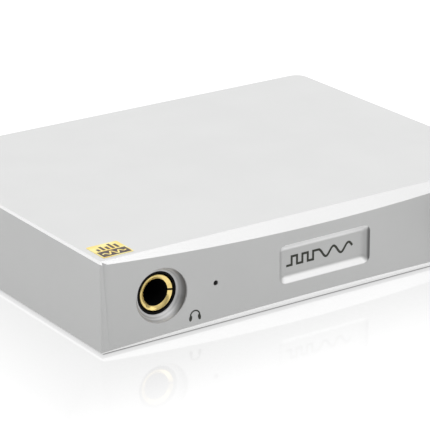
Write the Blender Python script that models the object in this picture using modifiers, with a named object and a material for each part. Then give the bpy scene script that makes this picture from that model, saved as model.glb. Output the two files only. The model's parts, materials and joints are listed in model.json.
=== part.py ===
"""A small desktop DAC with a headphone output, in an aluminium case of 120.6 x 91.3 x 22 mm.

+X is the right of the front, -Y points out of the front and +Z is up. The origin lies under the
middle of the whole object, on the surface that its feet stand on. Run it with
blender --background --python part.py. Lengths below are in millimetres; MM turns them into metres.
"""

import math

import bmesh
import bpy
from mathutils import Matrix, Vector

MM = 0.001

# Case
WIDTH = 120.6
DEPTH = 91.3  # from the front corners to the back
HEIGHT = 22.0
FOOT_RISE = 0.6  # gap between the case and the surface it stands on
BOW = 2.0  # how far the middle of the front stands out past its corners
TOP_FACET = 0.65  # 45 degree cut along the front's top edge, at the corners
BOTTOM_FACET = 0.5
LIP = 0.5  # chamfer round the top's other edges
BASE_LIP = 0.3
FRONT_CORNER = 0.6
BACK_CORNER = 3.5
TOP_WALL = 2.2
SIDE_WALL = 2.5
FRONT_WALL = 3.0
REAR_WALL = 2.2
WINDOW_HALF = 54.0
WINDOW_TOP = 19.4

# Levels above the case's lower edge
PLATE_BOTTOM = 0.35
PLATE_TOP = 1.85
BOARD_BOTTOM = 3.6
BOARD_TOP = 5.2
AXIS_HEIGHT = HEIGHT / 2
GAP = 0.15

# Overall length: the knob stands out in front and the line sockets behind
FRONT_OVERHANG = 11.0
REAR_OVERHANG = 9.0
FRONT_Y = FRONT_OVERHANG - (DEPTH + FRONT_OVERHANG + REAR_OVERHANG) / 2

# Front controls
CONTROL_INSET = 15.3  # jack and knob axes, in from the sides
JACK_X = CONTROL_INSET - WIDTH / 2
KNOB_X = -JACK_X
LED_X = -30.7
DISH_DEPTH = 1.2  # floor of the dished recesses, behind the front corners
JACK_DISH = 6.6
KNOB_DISH = 7.2
BUSHING_HOLE = 3.7
LIGHT_HOLE = 0.62
JACK_BORE = 3.2
FERRULE_RADIUS = 4.55
NOSE_RADIUS = 5.35
LABEL_SIZE = (26.8, 9.9)
LABEL_DEPTH = 1.5
LABEL_CORNER = 1.7
LABEL_LEVEL = 11.2
KNOB_RADIUS = 6.0
SHAFT_RADIUS = 3.0
PUSH_TRAVEL = 0.5
KNOB_BACK = 0.4  # the knob's back face, behind the front corners

# Rear sockets
USB_X = 30.0
OPTICAL_X = 12.0
COAX_X = -6.0
LINE_X = (-42.0, -26.0)
SOCKET_LEVEL = 11.0
SOCKET_BOTTOM = BOARD_TOP + 0.25
PHONO_INNER = 2.9
PHONO_OUTER = 4.15
OPTICAL_HALF = 4.95
OPTICAL_BAY_HALF = 4.1
OPTICAL_MOUTH = DEPTH + 0.8
SHUTTER_AXIS_Y = OPTICAL_MOUTH - 0.9
SHUTTER_AXIS_LEVEL = SOCKET_BOTTOM + OPTICAL_HALF + OPTICAL_BAY_HALF - 0.75

# Posts and screws
SCREW_HOLE = 1.4
HOLE_DEPTH = 10.0
SCREW_SHANK = 1.2
COUNTERBORE = 2.4
SEAT_LEVEL = PLATE_BOTTOM + 1.0  # where the bottom screws' heads sit
FRONT_POST = (52.3, 6.0)
REAR_POST = (47.0, 8.0)
FRONT_SCREW = (55.0, 6.0)
REAR_SCREW = (52.4, DEPTH - 6.4)
PANEL_SCREW_X = 50.5
PANEL_THICKNESS = 2.0
FOOT_PLACE = (46.0, 13.0)
FOOT_RADIUS = 4.5
BOARD_SCREW_PLACE = ((-36.0, 40.0), (36.0, 22.0), (-44.0, 68.0), (44.0, 68.0))


def clear_scene():
    """Removes what the file opened with and makes a collection for the parts and one for cutters."""
    for item in list(bpy.data.objects):
        bpy.data.objects.remove(item, do_unlink=True)
    collections = []
    for name in ("desktop_dac", "cutters"):
        collection = bpy.data.collections.new(name)
        bpy.context.scene.collection.children.link(collection)
        collections.append(collection)
    collections[1].hide_render = True
    return collections


PARTS, CUTTERS = clear_scene()


def level(height):
    """World height of a level measured from the case's lower edge."""
    return (height + FOOT_RISE) * MM


def back(distance):
    """World Y of a distance measured back from the case's front corners."""
    return (FRONT_Y + distance) * MM


def place(x, distance, height):
    """World point from X, the distance behind the front corners and the height in the case."""
    return Vector((x * MM, back(distance), level(height)))


def finish_for(name, colour, roughness, metallic=0.0):
    """One Principled material."""
    material = bpy.data.materials.new(name)
    material.use_nodes = True
    shader = material.node_tree.nodes["Principled BSDF"]
    shader.inputs["Base Color"].default_value = (*colour, 1.0)
    shader.inputs["Roughness"].default_value = roughness
    shader.inputs["Metallic"].default_value = metallic
    return material


def adopt(name, mesh, finish=None):
    """Links a new object: a part when it has a finish, and otherwise a hidden cutter."""
    item = bpy.data.objects.new(name, mesh)
    if finish:
        PARTS.objects.link(item)
        mesh.materials.clear()
        mesh.materials.append(finish_for(name, *finish))
    else:
        CUTTERS.objects.link(item)
        item.hide_render = True
        item.display_type = "WIRE"
    return item


def mesh_from(name, solid):
    """A mesh datablock from a bmesh, with rounds smooth and edges sharp."""
    mesh = bpy.data.meshes.new(name)
    solid.to_mesh(mesh)
    solid.free()
    mesh.shade_smooth()
    mesh.set_sharp_from_angle(angle=math.radians(35))
    return mesh


def box(name, low, high, finish=None, bevel=0.0, segments=1):
    """A block between two corners given as (x, distance back, height)."""
    size = [(b - a) * MM for a, b in zip(low, high)]
    middle = [(a + b) / 2 for a, b in zip(low, high)]
    solid = bmesh.new()
    bmesh.ops.create_cube(solid, size=1.0, matrix=Matrix.Diagonal((*size, 1.0)))
    if bevel:
        bmesh.ops.bevel(
            solid, geom=solid.edges[:], offset=bevel * MM, segments=segments, affect="EDGES", profile=0.5
        )
    item = adopt(name, mesh_from(name, solid), finish)
    item.location = place(*middle)
    return item


def point_along(item, origin, facing):
    """Turns an object's own +Z to face the front, the back, the side or up, and sets its place."""
    turns = {"front": (90, 0), "back": (-90, 0), "up": (0, 0), "down": (180, 0), "side": (0, 90)}
    tilt, roll = turns[facing]
    item.rotation_euler = (math.radians(tilt), math.radians(roll), 0)
    item.location = place(*origin)
    return item


def turned(name, profile, origin, facing, finish=None, steps=40):
    """A turned piece. The profile's (radius, height) points run down the outer side.

    It starts and ends on the axis for a solid piece, and comes back up the bore for a ring.
    """
    mesh = bpy.data.meshes.new(name)
    points = [(radius * MM, 0.0, height * MM) for radius, height in profile]
    edges = [(i, i + 1) for i in range(len(points) - 1)]
    if profile[0][0] > 0:
        edges.append((len(points) - 1, 0))
    mesh.from_pydata(points, edges, [])
    item = adopt(name, mesh, finish)
    screw = item.modifiers.new("turn", "SCREW")
    screw.axis = "Z"
    screw.steps = steps
    screw.render_steps = steps
    screw.use_merge_vertices = True
    screw.merge_threshold = 0.00001
    screw.use_smooth_shade = False
    return point_along(item, origin, facing)


def rod(name, radius, start, end, x, height, facing, finish=None, steps=32):
    """A plain round bar that runs along Y from one distance behind the front to another."""
    length = abs(end - start)
    near = {"front": max(start, end), "back": min(start, end)}[facing]
    profile = [(0, length), (radius, length), (radius, 0), (0, 0)]
    return turned(name, profile, (x, near, height), facing, finish, steps)


def ring(name, outer, inner, length, origin, facing, finish=None, steps=32):
    """A plain tube that stands on its origin."""
    profile = [(outer, length), (outer, 0), (inner, 0), (inner, length)]
    return turned(name, profile, origin, facing, finish, steps)


def outline_solid(name, points, low, high, finish=None):
    """A flat outline of (x, distance back) points, made solid between two levels."""
    curve = bpy.data.curves.new(name, "CURVE")
    curve.dimensions = "2D"
    curve.fill_mode = "BOTH"
    curve.extrude = (high - low) / 2 * MM
    spline = curve.splines.new("POLY")
    spline.points.add(len(points) - 1)
    for point, (x, y) in zip(spline.points, points):
        point.co = (x * MM, y * MM, 0.0, 1.0)
    spline.use_cyclic_u = True
    guide = bpy.data.objects.new(name + "_outline", curve)
    bpy.context.scene.collection.objects.link(guide)
    bpy.context.view_layer.update()
    made = guide.evaluated_get(bpy.context.evaluated_depsgraph_get())
    mesh = bpy.data.meshes.new_from_object(made)
    bpy.data.objects.remove(guide, do_unlink=True)
    solid = bmesh.new()
    solid.from_mesh(mesh)
    bpy.data.meshes.remove(mesh)
    bmesh.ops.remove_doubles(solid, verts=solid.verts, dist=0.00001)
    bmesh.ops.dissolve_limit(solid, angle_limit=0.001, verts=solid.verts, edges=solid.edges)
    bmesh.ops.recalc_face_normals(solid, faces=solid.faces)
    item = adopt(name, mesh_from(name, solid), finish)
    item.location = place(0, 0, (low + high) / 2)
    return item


def combine(item, other, operation="DIFFERENCE"):
    """Cuts one object with another, or joins them, and hides the tool."""
    change = item.modifiers.new(other.name, "BOOLEAN")
    change.operation = operation
    change.solver = "EXACT"
    change.object = other
    return item


def arc(centre, radius, start, end, segments):
    """Points on an arc, in degrees."""
    points = []
    for step in range(segments + 1):
        angle = math.radians(start + (end - start) * step / segments)
        points.append((centre[0] + radius * math.cos(angle), centre[1] + radius * math.sin(angle)))
    return points


def rounded_rectangle(low, high, radius, segments=5):
    """Points round a rectangle with round corners."""
    left, front = low[0] + radius, low[1] + radius
    right, rear = high[0] - radius, high[1] - radius
    points = arc((right, front), radius, 270, 360, segments)
    points += arc((right, rear), radius, 0, 90, segments)
    points += arc((left, rear), radius, 90, 180, segments)
    points += arc((left, front), radius, 180, 270, segments)
    return points


def case_outline():
    """The case from above: a bowed front, tight front corners and round back corners."""
    half = WIDTH / 2
    bow_half = half - FRONT_CORNER
    points = []
    bow_steps = 28
    for step in range(1, bow_steps):
        x = -bow_half + 2 * bow_half * step / bow_steps
        points.append((x, -BOW * (1 - (x / bow_half) ** 2)))
    points += arc((bow_half, FRONT_CORNER), FRONT_CORNER, 270, 360, 4)
    inner = half - BACK_CORNER
    points += arc((inner, DEPTH - BACK_CORNER), BACK_CORNER, 0, 90, 8)
    points += arc((-inner, DEPTH - BACK_CORNER), BACK_CORNER, 90, 180, 8)
    points += arc((-bow_half, FRONT_CORNER), FRONT_CORNER, 180, 270, 4)
    return points


def chamfer_rim(item, height, width):
    """Chamfers the outline's edges at one level, leaving out the front."""
    solid = bmesh.new()
    solid.from_mesh(item.data)
    local = (height - HEIGHT / 2) * MM
    edges = []
    for edge in solid.edges:
        at_level = all(abs(vert.co.z - local) < 0.00001 for vert in edge.verts)
        on_front = all(vert.co.y < 0.00001 for vert in edge.verts)
        if at_level and not on_front:
            edges.append(edge)
    bmesh.ops.bevel(solid, geom=edges, offset=width * MM, segments=1, affect="EDGES", profile=0.5)
    solid.to_mesh(item.data)
    solid.free()


def front_facet(name, cut, top):
    """A block that takes off the front's top or bottom edge at 45 degrees."""
    size = 16.0
    reach = WIDTH / 2 + 5
    item = box(name, (-reach, 0, 0), (reach, size, size))
    tilt = 45 if top else 135
    outward = Vector((0, -1, 1 if top else -1)).normalized()
    item.rotation_euler = (math.radians(tilt), 0, 0)
    item.location = place(0, cut, HEIGHT if top else 0) + outward * size / 2 * MM
    return item


def notched_block(name, margin, front, bottom, top, finish=None):
    """A block that fills the case between two levels and clears the four corner posts by a margin."""
    half = WIDTH / 2 - SIDE_WALL - margin
    rear = DEPTH - REAR_WALL
    over = 3.0
    block = box(name, (-half, front, bottom), (half, rear - margin, top), finish)
    for mirror in (-1, 1):
        for end, (post_x, depth) in (("front", FRONT_POST), ("back", REAR_POST)):
            near, far = 0, FRONT_WALL + depth + margin
            if end == "back":
                near, far = rear - depth - margin, DEPTH + over
            low_x, high_x = sorted((mirror * (post_x - margin), mirror * WIDTH))
            post = box(f"{name}_{end}_post_{mirror}", (low_x, near, bottom - over), (high_x, far, top + over))
            combine(block, post)
    return block


def dish(name, x, rim, floor, hole):
    """A dished recess with a hole through its floor: its wall curves up to the rim and flares past it."""
    rise = DISH_DEPTH + 1.0
    wall = rise * 0.97
    through = 6.0
    flare = 0.1
    flare_end = 0.6
    profile = [(0, rise + through), (rim + flare_end, rise + through), (rim + flare, rise)]
    steps = 5
    for step in range(steps + 1):
        share = step / steps
        radius = floor + (rim - floor) * math.cos(share * math.pi / 2)
        profile.append((radius, wall * (1 - share)))
    profile += [(hole, 0), (hole, -through), (0, -through)]
    return turned(name, profile, (x, DISH_DEPTH, AXIS_HEIGHT), "front", steps=56)


def label_pocket():
    """A pocket with round corners and walls that slope at 45 degrees down to its floor."""
    width, height = LABEL_SIZE
    beyond = 2.0
    low = (-width / 2 - beyond, -BOW - beyond, LABEL_LEVEL - height / 2 - beyond)
    high = (width / 2 + beyond, LABEL_DEPTH - BOW, LABEL_LEVEL + height / 2 + beyond)
    item = box("label_pocket", low, high)
    solid = bmesh.new()
    solid.from_mesh(item.data)
    corners = []
    for edge in solid.edges:
        run = edge.verts[0].co - edge.verts[1].co
        if abs(run.y) > 0.0005:
            corners.append(edge)
    bmesh.ops.bevel(solid, geom=corners, offset=LABEL_CORNER * MM, segments=5, affect="EDGES", profile=0.5)
    slope = (LABEL_DEPTH + beyond) * MM
    for vert in solid.verts:
        if vert.co.y > 0:
            vert.co.x -= math.copysign(slope, vert.co.x)
            vert.co.z -= math.copysign(slope, vert.co.z)
    solid.to_mesh(item.data)
    solid.free()
    return item


def screw_profile(head, head_height, shank, length):
    """A pan head on a plain shank, its head at the top."""
    crown = 0.7
    shoulder = 0.6
    tip = 0.3
    return [
        (0, length + head_height),
        (head * crown, length + head_height),
        (head, length + head_height * shoulder),
        (head, length),
        (shank, length),
        (shank, tip),
        (shank - tip, 0),
        (0, 0),
    ]


def screw(name, origin, facing, head, head_height, shank, length):
    """One screw with a hexagon socket. Its origin is the end of its shank."""
    profile = screw_profile(head, head_height, shank, length)
    item = turned(name, profile, origin, facing, ALUMINIUM, steps=16)
    socket_radius = head * 0.45
    top = length + head_height
    over = top + 1.0
    floor = top - head_height * 0.6
    socket = [(0, over), (socket_radius, over), (socket_radius, floor), (0, floor)]
    combine(item, turned(name + "_socket", socket, origin, facing, steps=6))
    return item


ALUMINIUM = ((0.72, 0.73, 0.74), 0.38, 1.0)
STEEL = ((0.55, 0.55, 0.56), 0.3, 1.0)
GOLD = ((0.95, 0.72, 0.28), 0.18, 1.0)
BLACK = ((0.012, 0.012, 0.013), 0.4, 0.0)
WHITE = ((0.85, 0.85, 0.83), 0.45, 0.0)
RED = ((0.5, 0.02, 0.02), 0.4, 0.0)
ORANGE = ((0.75, 0.2, 0.02), 0.4, 0.0)
BOARD = ((0.01, 0.05, 0.03), 0.45, 0.0)
RUBBER = ((0.03, 0.03, 0.03), 0.8, 0.0)


def upper_shell():
    """The machined case: top, sides and front in one piece."""
    shell = outline_solid("upper_shell", case_outline(), 0, HEIGHT, ALUMINIUM)
    chamfer_rim(shell, HEIGHT, LIP)
    chamfer_rim(shell, 0, BASE_LIP)
    ceiling = HEIGHT - TOP_WALL
    side = WIDTH / 2 - SIDE_WALL
    window_front = DEPTH - REAR_WALL - 0.2
    floor_gap = 0.35
    tools = [
        front_facet("top_facet", TOP_FACET, top=True),
        front_facet("bottom_facet", BOTTOM_FACET, top=False),
        notched_block("cavity", 0, FRONT_WALL, PLATE_TOP + 0.1, ceiling),
        box("plate_seat", (-side, FRONT_WALL, -2), (side, DEPTH - REAR_WALL, PLATE_TOP + 0.5)),
        box("rear_window", (-WINDOW_HALF, window_front, -3), (WINDOW_HALF, DEPTH + 3, WINDOW_TOP)),
        dish("jack_dish", JACK_X, JACK_DISH, NOSE_RADIUS + floor_gap, NOSE_RADIUS + 0.2),
        dish("knob_dish", KNOB_X, KNOB_DISH, KNOB_RADIUS + 0.4, BUSHING_HOLE),
        rod("light_hole", LIGHT_HOLE, -6, 8, LED_X, AXIS_HEIGHT, "front", steps=20),
        label_pocket(),
    ]
    for mirror in (-1, 1):
        for x, y in (FRONT_SCREW, REAR_SCREW):
            hole = [(0, HOLE_DEPTH), (SCREW_HOLE, HOLE_DEPTH), (SCREW_HOLE, 0), (0, 0)]
            name = f"post_hole_{x}_{mirror}"
            tools.append(turned(name, hole, (mirror * x, y, 0), "up", steps=16))
        name = f"panel_hole_{mirror}"
        x = mirror * PANEL_SCREW_X
        tools.append(rod(name, SCREW_HOLE, DEPTH - HOLE_DEPTH, DEPTH, x, AXIS_HEIGHT, "back", steps=16))
    for tool in tools:
        combine(shell, tool)
    return shell


def bottom_plate():
    """The flat cover under the case, with counterbored screw holes and standoffs for the board."""
    side = WIDTH / 2 - SIDE_WALL - GAP
    low = (-side, FRONT_WALL + GAP)
    high = (side, DEPTH - REAR_WALL - GAP)
    outline = rounded_rectangle(low, high, 1.0, 3)
    plate = outline_solid("bottom_plate", outline, PLATE_BOTTOM, PLATE_TOP, ALUMINIUM)
    over = 4.0
    clearance = SCREW_HOLE + 0.1
    for mirror in (-1, 1):
        for x, y in (FRONT_SCREW, REAR_SCREW):
            profile = [
                (0, over),
                (clearance, over),
                (clearance, SEAT_LEVEL),
                (COUNTERBORE, SEAT_LEVEL),
                (COUNTERBORE, -over),
                (0, -over),
            ]
            combine(plate, turned(f"plate_hole_{x}_{mirror}", profile, (mirror * x, y, 0), "up", steps=20))
    low = PLATE_TOP - 0.3
    height = BOARD_BOTTOM - GAP - low
    for index, (x, y) in enumerate(BOARD_SCREW_PLACE, start=1):
        post = ring(f"standoff_{index}", 2.6, SCREW_HOLE, height, (x, y, low), "up", steps=12)
        combine(plate, post, "UNION")
    return plate


def feet():
    """Four low rubber feet."""
    height = FOOT_RISE + PLATE_BOTTOM - GAP
    x, y = FOOT_PLACE
    places = {
        "foot_front_left": (-x, y),
        "foot_front_right": (x, y),
        "foot_back_left": (-x, DEPTH - y),
        "foot_back_right": (x, DEPTH - y),
    }
    for name, (foot_x, foot_y) in places.items():
        profile = [(0, height), (FOOT_RADIUS, height), (FOOT_RADIUS, 0.2), (FOOT_RADIUS - 0.3, 0), (0, 0)]
        turned(name, profile, (foot_x, foot_y, -FOOT_RISE), "up", RUBBER, steps=32)


def case_screws():
    """Screws that hold the bottom plate and the rear panel."""
    length = 6.0
    tip = SEAT_LEVEL - 0.1 + length
    bottom_head = (2.2, 0.8)
    rear_head = (2.4, 1.2)
    for side, mirror in (("left", -1), ("right", 1)):
        for end, (x, y) in (("front", FRONT_SCREW), ("back", REAR_SCREW)):
            name = f"bottom_screw_{end}_{side}"
            screw(name, (mirror * x, y, tip), "down", *bottom_head, SCREW_SHANK, length)
        start = (mirror * PANEL_SCREW_X, DEPTH + GAP - length, AXIS_HEIGHT)
        screw(f"rear_screw_{side}", start, "back", *rear_head, SCREW_SHANK, length)


def rear_panel():
    """The plate that closes the back, with a hole for each socket."""
    edge = WINDOW_HALF - GAP
    inner = DEPTH - PANEL_THICKNESS
    near = inner - 2.0
    far = DEPTH + 2.0
    panel = box("rear_panel", (-edge, inner, 0.2), (edge, DEPTH, WINDOW_TOP - GAP), ALUMINIUM)
    tools = [
        box("usb_cut", (USB_X - 6.3, near, 5.3), (USB_X + 6.3, far, 16.8)),
        box("optical_cut", (OPTICAL_X - 5.1, near, 5.2), (OPTICAL_X + 5.1, far, 15.6)),
    ]
    for x in (COAX_X, *LINE_X):
        tools.append(rod(f"line_cut_{x}", PHONO_OUTER + 0.25, near, far, x, SOCKET_LEVEL, "back"))
    for mirror in (-1, 1):
        x = mirror * PANEL_SCREW_X
        tools.append(rod(f"screw_cut_{mirror}", SCREW_HOLE, near, far, x, AXIS_HEIGHT, "back", steps=16))
    for tool in tools:
        combine(panel, tool)
    return panel


def corner_sticker():
    """A thin foil sticker on the top, by the front left corner."""
    size = (8.0, 7.6)
    thickness = 0.1
    low = (-WIDTH / 2 + 2.1, 2.0)
    high = (low[0] + size[0], low[1] + size[1])
    rest = HEIGHT + 0.05
    outline_solid("corner_sticker", rounded_rectangle(low, high, 0.3, 2), rest, rest + thickness, GOLD)


def headphone_jack():
    """A 6.35 mm jack: black housing with a round nose, gold ferrule and three contact springs."""
    nose_inner = FERRULE_RADIUS + 0.12
    body_front = FRONT_WALL + 0.3
    body_back = 31.0
    nose_back = body_front + 1.0
    nose_bore = 2.0
    over = 40.0
    recess = body_back - 9.0
    plug_bore = JACK_BORE + 0.1
    bore_end = 3.0
    housing = box(
        "jack_housing",
        (JACK_X - 6.5, body_front, BOARD_TOP + GAP),
        (JACK_X + 6.5, body_back, 16.8),
        BLACK,
        bevel=0.3,
    )
    nose_length = nose_back - DISH_DEPTH
    nose = [
        (NOSE_RADIUS - 0.15, nose_length),
        (NOSE_RADIUS, nose_length - 0.15),
        (NOSE_RADIUS, 0),
        (nose_bore, 0),
        (nose_bore, nose_length),
    ]
    combine(housing, turned("jack_nose", nose, (JACK_X, nose_back, AXIS_HEIGHT), "front", steps=48), "UNION")
    bore = [
        (0, over),
        (nose_inner, over),
        (nose_inner, recess),
        (plug_bore, recess),
        (plug_bore, bore_end),
        (0, bore_end),
    ]
    combine(housing, turned("jack_bore", bore, (JACK_X, body_back, AXIS_HEIGHT), "front", steps=48))
    for name, y, side in (("sleeve", 13.0, -1), ("ring", 19.0, 1), ("tip", 25.0, -1)):
        low_x, high_x = sorted((JACK_X + side * 3.0, JACK_X + side * 5.2))
        combine(housing, box(f"{name}_slot", (low_x, y - 1.2, 7.5), (high_x, y + 1.2, 14.5)))
        low_x, high_x = sorted((JACK_X + side * 3.55, JACK_X + side * 4.05))
        box(f"jack_contact_{name}", (low_x, y - 0.9, 8.0), (high_x, y + 0.9, 14.0), GOLD)
    ferrule_back = 8.6
    length = ferrule_back - DISH_DEPTH
    profile = [
        (FERRULE_RADIUS - 0.1, length),
        (FERRULE_RADIUS, length - 0.1),
        (FERRULE_RADIUS, 0),
        (JACK_BORE, 0),
        (JACK_BORE, length - 0.3),
        (JACK_BORE + 0.3, length),
    ]
    ferrule = turned("jack_ferrule", profile, (JACK_X, ferrule_back, AXIS_HEIGHT), "front", GOLD, steps=56)
    notch_low = (JACK_X + JACK_BORE - 0.5, DISH_DEPTH - 1, AXIS_HEIGHT - 0.25)
    notch_high = (JACK_X + FERRULE_RADIUS + 0.5, DISH_DEPTH + 1.2, AXIS_HEIGHT + 0.25)
    combine(ferrule, box("ferrule_notch", notch_low, notch_high))


def status_light():
    """A light pipe through the front and the lamp behind it."""
    rod("led_light_pipe", 0.5, -1.2, 5.2, LED_X, AXIS_HEIGHT, "front", BLACK, steps=20)
    half = 1.5
    box("status_led", (LED_X - half, 5.4, BOARD_TOP + GAP), (LED_X + half, 7.4, 12.6), WHITE, bevel=0.2)


def volume_control():
    """The knob and the push encoder that it drives."""
    length = FRONT_OVERHANG + KNOB_BACK
    skirt_radius = 5.2
    skirt_depth = 2.2
    socket_radius = SHAFT_RADIUS + 0.12
    socket_depth = 9.0
    profile = [
        (0, length - 0.25),
        (KNOB_RADIUS - 1.0, length - 0.25),
        (KNOB_RADIUS - 0.8, length),
        (KNOB_RADIUS - 0.4, length),
        (KNOB_RADIUS, length - 0.4),
        (KNOB_RADIUS, 0.3),
        (KNOB_RADIUS - 0.3, 0),
        (skirt_radius, 0),
        (skirt_radius, skirt_depth),
        (socket_radius, skirt_depth),
        (socket_radius, socket_depth),
        (0, socket_depth),
    ]
    turned("volume_knob", profile, (KNOB_X, KNOB_BACK, AXIS_HEIGHT), "front", ALUMINIUM, steps=44)
    shaft_end = 8.0
    shaft_front = KNOB_BACK + 0.2 - socket_depth
    rod("encoder_shaft", SHAFT_RADIUS, shaft_front, shaft_end, KNOB_X, AXIS_HEIGHT, "front", STEEL, steps=40)
    plunger_back = shaft_end + 1.5
    rod("encoder_plunger", 2.0, shaft_end + 0.15, plunger_back, KNOB_X, AXIS_HEIGHT, "front", WHITE, steps=24)
    bore_end = plunger_back + PUSH_TRAVEL + 0.6
    dome = [(0, 0.35), (1.2, 0.3), (3.0, 0.15), (3.0, 0), (0, 0)]
    turned("encoder_dome", dome, (KNOB_X, bore_end - 0.05, AXIS_HEIGHT), "front", STEEL, steps=24)
    bushing_back = 4.6
    thread_radius = 3.5
    nut_bore = thread_radius + 0.15
    ring(
        "encoder_bushing",
        thread_radius,
        SHAFT_RADIUS + 0.08,
        bushing_back + 1.0,
        (KNOB_X, bushing_back, AXIS_HEIGHT),
        "front",
        STEEL,
        steps=40,
    )
    ring("encoder_washer", 4.9, nut_bore, 0.45, (KNOB_X, 1.1, AXIS_HEIGHT), "front", STEEL, steps=20)
    nut = ring("encoder_nut", 4.8, 0.5, 1.4, (KNOB_X, 0.6, AXIS_HEIGHT), "front", STEEL, steps=6)
    combine(nut, rod("nut_bore", nut_bore, -3, 3, KNOB_X, AXIS_HEIGHT, "front"))
    half = 5.8
    body = box(
        "encoder_body",
        (KNOB_X - half, bushing_back + GAP, BOARD_TOP + GAP),
        (KNOB_X + half, bore_end + 1.4, 16.7),
        BLACK,
        bevel=0.3,
    )
    combine(body, rod("encoder_bore", 3.3, 2, bore_end, KNOB_X, AXIS_HEIGHT, "front"))


def main_board():
    """The circuit board on its spacers."""
    board = notched_block("main_board", 0.5, FRONT_WALL + 4.5, BOARD_BOTTOM, BOARD_TOP, BOARD)
    length = 3.0
    head = (2.2, 1.0)
    clearance = SCREW_HOLE + 0.1
    hole = [(0, length * 3), (clearance, length * 3), (clearance, 0), (0, 0)]
    for index, (x, y) in enumerate(BOARD_SCREW_PLACE, start=1):
        tip = (x, y, BOARD_TOP + 0.1 - length)
        combine(board, turned(f"board_hole_{index}", hole, tip, "up", steps=16))
        screw(f"board_screw_{index}", tip, "up", *head, SCREW_SHANK, length)


def usb_socket():
    """A square USB socket: a metal shell round a plastic tongue."""
    front = DEPTH - 15.0
    back_face = DEPTH + 0.4
    top = 16.4
    half = 6.0
    low = (USB_X - half, front, SOCKET_BOTTOM)
    shell = box("usb_socket_shell", low, (USB_X + half, back_face, top), STEEL, bevel=0.25)
    middle = (SOCKET_BOTTOM + top) / 2
    bay_floor = back_face - 10.0
    bay_half = 4.4
    bay_rise = 4.1
    cavity_low = (USB_X - bay_half, bay_floor, middle - bay_rise)
    cavity_high = (USB_X + bay_half, back_face + 2.0, middle + bay_rise)
    cavity = box("usb_cavity", cavity_low, cavity_high)
    solid = bmesh.new()
    solid.from_mesh(cavity.data)
    upper = []
    for edge in solid.edges:
        run = edge.verts[0].co - edge.verts[1].co
        if abs(run.y) > 0.001 and edge.verts[0].co.z > 0:
            upper.append(edge)
    bmesh.ops.bevel(solid, geom=upper, offset=1.6 * MM, segments=1, affect="EDGES", profile=0.5)
    solid.to_mesh(cavity.data)
    solid.free()
    combine(shell, cavity)
    tongue_half = 2.8
    tongue_rise = 1.6
    low = (USB_X - tongue_half, bay_floor + GAP, middle - tongue_rise)
    high = (USB_X + tongue_half, back_face - 1.3, middle + tongue_rise)
    box("usb_socket_tongue", low, high, WHITE, bevel=0.2)


def optical_socket():
    """A square optical socket with a shutter that hinges inward and its receiver."""
    middle = SOCKET_BOTTOM + OPTICAL_HALF
    mouth = OPTICAL_MOUTH
    half = OPTICAL_BAY_HALF
    outer = 4.9
    body = box(
        "optical_socket",
        (OPTICAL_X - outer, DEPTH - 12.5, SOCKET_BOTTOM),
        (OPTICAL_X + outer, mouth, middle + OPTICAL_HALF),
        BLACK,
        bevel=0.25,
    )
    cavity_depth = 9.6
    cavity_low = (OPTICAL_X - half, mouth - cavity_depth, middle - half)
    combine(body, box("optical_cavity", cavity_low, (OPTICAL_X + half, mouth + 2, middle + half)))
    shutter_half = half - GAP
    pin_radius = 0.4
    pin_half = 4.4
    hole_radius = pin_radius + 0.08
    hole_half = pin_half + 0.1
    axis = (SHUTTER_AXIS_Y, SHUTTER_AXIS_LEVEL)
    pin_hole = [(0, 2 * hole_half), (hole_radius, 2 * hole_half), (hole_radius, 0), (0, 0)]
    combine(body, turned("shutter_hole", pin_hole, (OPTICAL_X - hole_half, *axis), "side", steps=20))
    shutter = box(
        "optical_shutter",
        (OPTICAL_X - shutter_half, SHUTTER_AXIS_Y - pin_radius, middle - half + 0.2),
        (OPTICAL_X + shutter_half, SHUTTER_AXIS_Y + pin_radius, SHUTTER_AXIS_LEVEL + 0.25),
        BLACK,
    )
    pin = [(0, 2 * pin_half), (pin_radius, 2 * pin_half), (pin_radius, 0), (0, 0)]
    combine(shutter, turned("shutter_pin", pin, (OPTICAL_X - pin_half, *axis), "side", steps=20), "UNION")
    eye_half = 1.2
    eye_back = mouth - cavity_depth + 0.1
    box(
        "optical_receiver",
        (OPTICAL_X - eye_half, eye_back, middle - eye_half),
        (OPTICAL_X + eye_half, eye_back + 0.8, middle + eye_half),
        WHITE,
    )
    return shutter


def line_sockets():
    """Phono sockets: a coaxial input, and a left and a right line output."""
    kinds = {"coax": (COAX_X, ORANGE), "line_left": (LINE_X[1], WHITE), "line_right": (LINE_X[0], RED)}
    block_face = DEPTH - PANEL_THICKNESS - 0.3
    lead_in = 0.3
    for name, (x, colour) in kinds.items():
        reach = DEPTH + REAR_OVERHANG - block_face - GAP
        profile = [
            (PHONO_OUTER - lead_in, reach),
            (PHONO_OUTER, reach - lead_in),
            (PHONO_OUTER, 0),
            (PHONO_INNER, 0),
            (PHONO_INNER, reach),
        ]
        origin = (x, block_face + GAP, SOCKET_LEVEL)
        turned(f"{name}_barrel", profile, origin, "back", GOLD, steps=32)
        ring(f"{name}_insulator", PHONO_INNER - GAP, 1.65, reach - 0.6, origin, "back", colour, steps=20)
    margin = 5.0
    blocks = {"coax_block": (COAX_X, COAX_X), "line_block": LINE_X}
    for name, (first, last) in blocks.items():
        low = (first - margin, block_face - 9.0, BOARD_TOP + GAP)
        box(name, low, (last + margin, block_face, 16.6), BLACK, bevel=0.3)


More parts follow.
